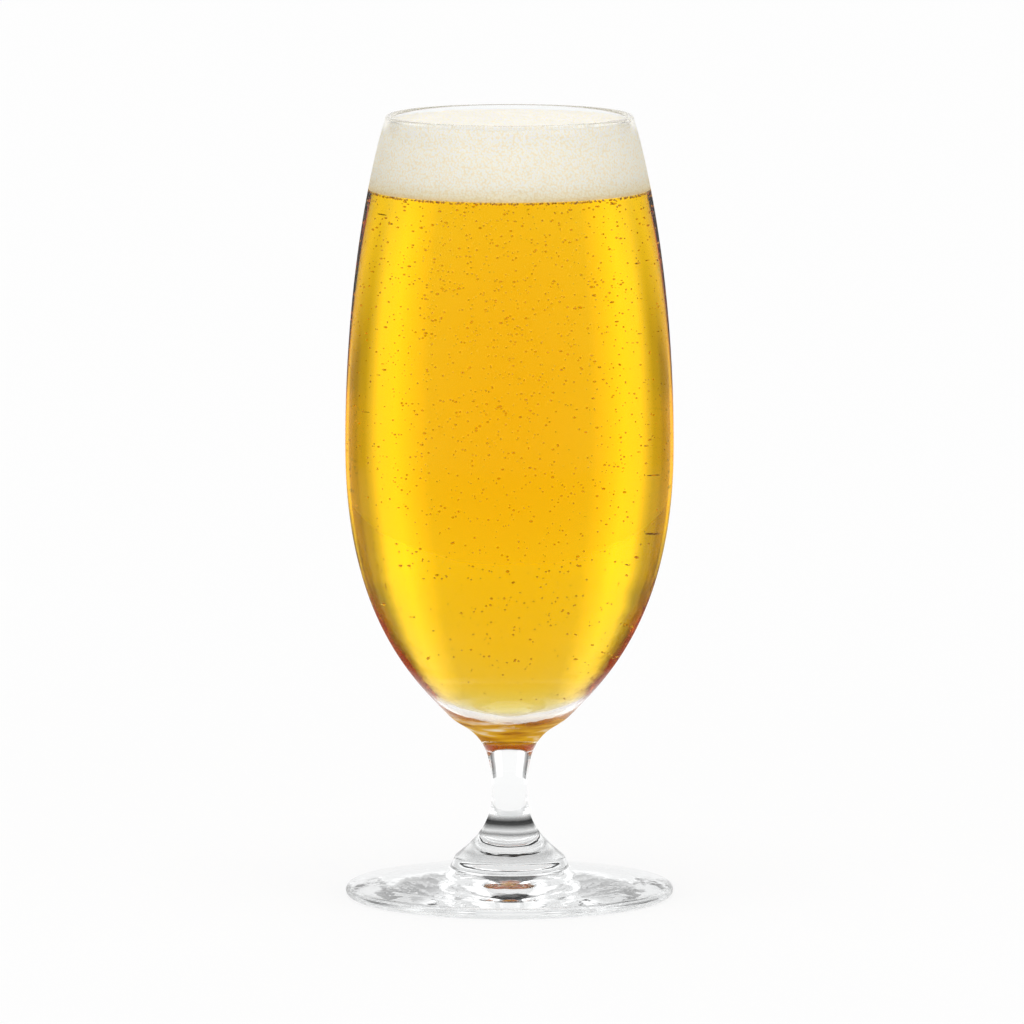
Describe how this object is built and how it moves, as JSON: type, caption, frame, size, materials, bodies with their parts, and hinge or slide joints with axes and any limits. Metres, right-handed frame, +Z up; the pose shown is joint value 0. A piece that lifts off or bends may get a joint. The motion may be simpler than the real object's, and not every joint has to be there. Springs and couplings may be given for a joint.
{
  "type": "pint of beer",
  "caption": "Pint of lager with a thick white head in a stemmed, footed pilsner glass with a rounded bowl.",
  "frame": {"origin": "on the axis, at the level of the surface that the foot stands on", "axes": "+Z up along the axis of the glass; +X and +Y are alike, because the glass is round"},
  "size_m": [0.0838, 0.0838, 0.2],
  "materials": {
    "glass": "clear polished glass",
    "beer": "clear golden lager with fine rising bubbles",
    "head": "matt cream foam of fine bubbles"
  },
  "bodies": {
    "root": {"glass": "glass", "beer": "beer", "head": "head"}
  },
  "joints": []
}
